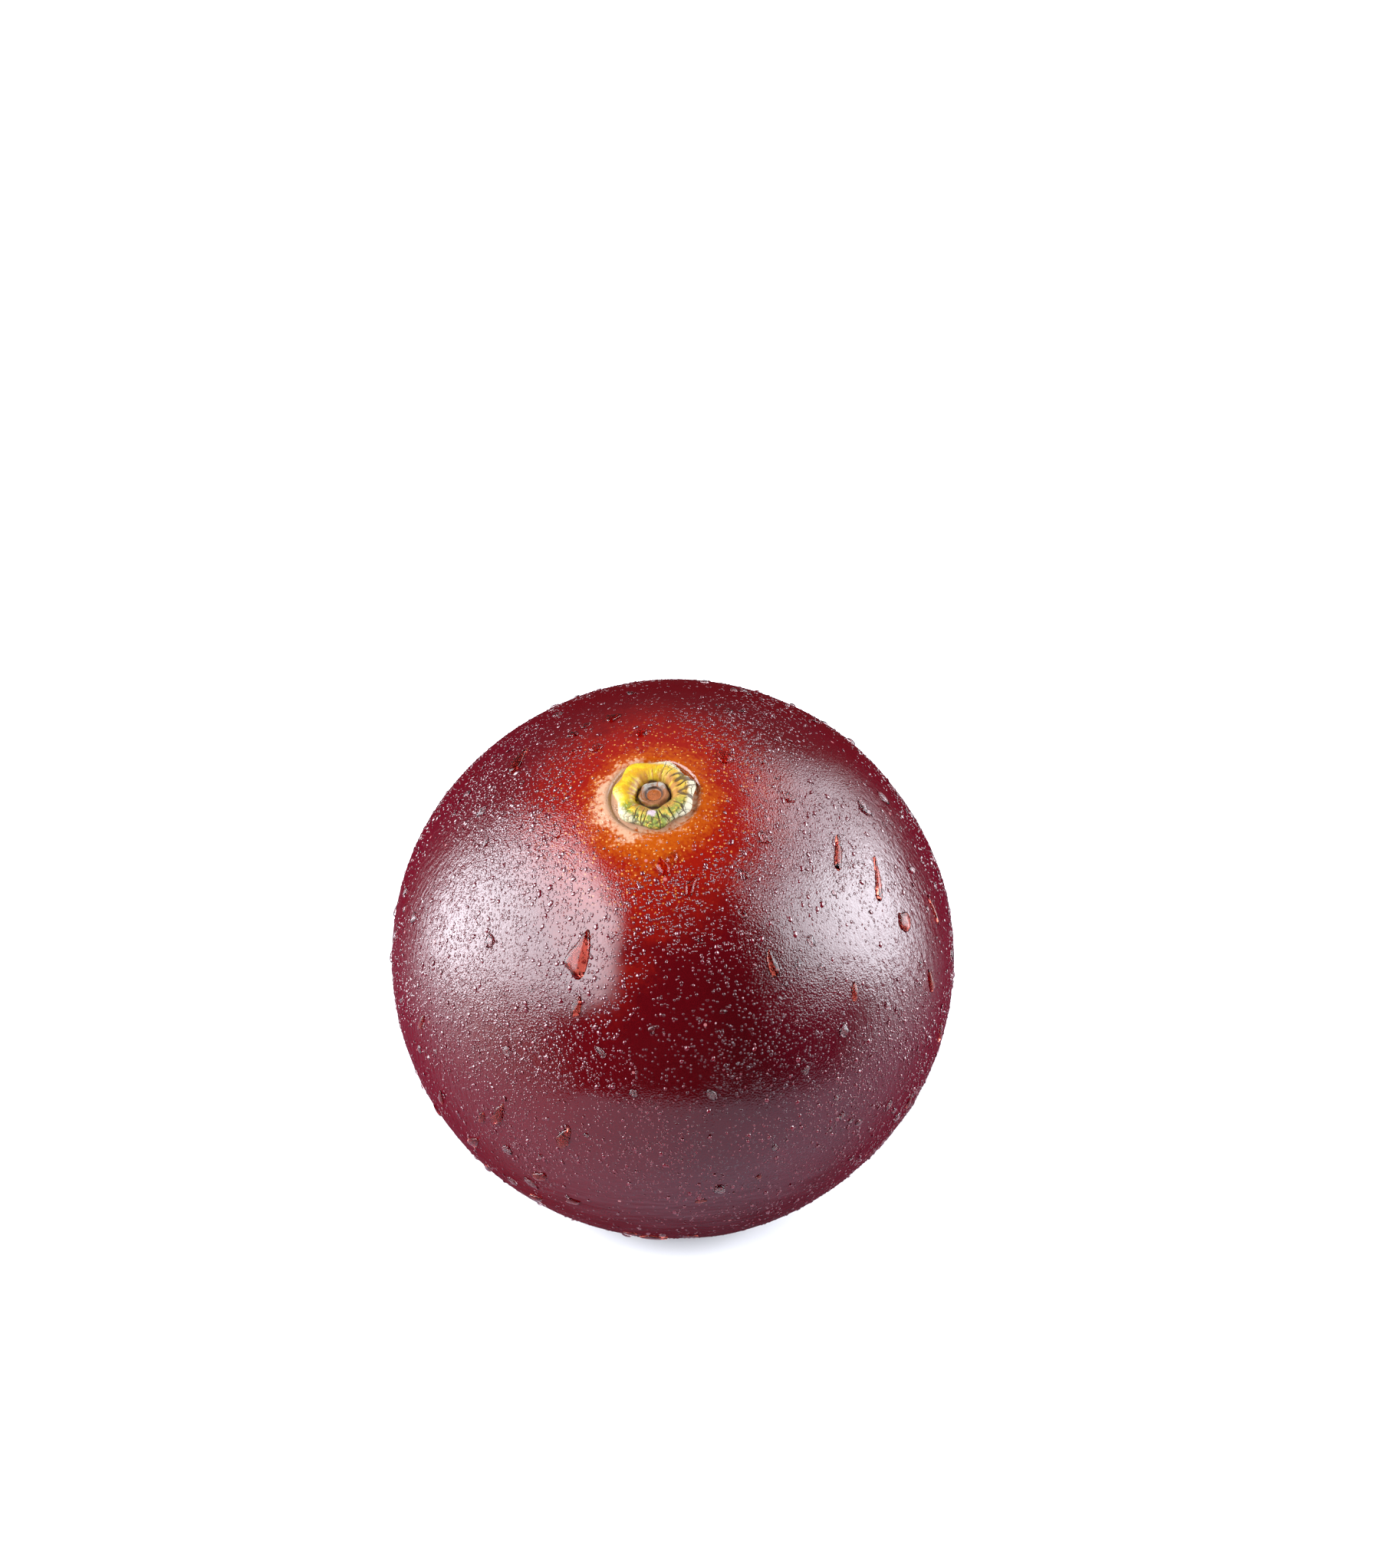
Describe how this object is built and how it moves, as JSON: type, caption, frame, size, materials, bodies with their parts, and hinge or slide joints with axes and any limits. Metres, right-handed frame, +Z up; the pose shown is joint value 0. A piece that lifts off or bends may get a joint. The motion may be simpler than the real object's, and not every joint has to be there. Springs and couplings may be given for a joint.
{
  "type": "phalsa berry",
  "caption": "Round ripe phalsa drupe with glossy dark red skin and a raised corky stalk scar, resting on a small flat spot.",
  "frame": {"origin": "on the resting surface, straight under the fruit's middle, inside the flat rest spot", "axes": "+Z up from the resting surface; the stalk scar is near the top and leans towards -Y"},
  "size_m": [0.016, 0.0159, 0.0155],
  "materials": {
    "ripe_skin": "smooth ripe fruit skin, dark red to maroon, orange near the stalk scar",
    "scar_cork": "rough yellow to green cork on the stalk scar, brown in its middle",
    "water": "clear water droplets on the skin, in the visual model only"
  },
  "bodies": {
    "root": {"berry": "ripe_skin"}
  },
  "joints": []
}
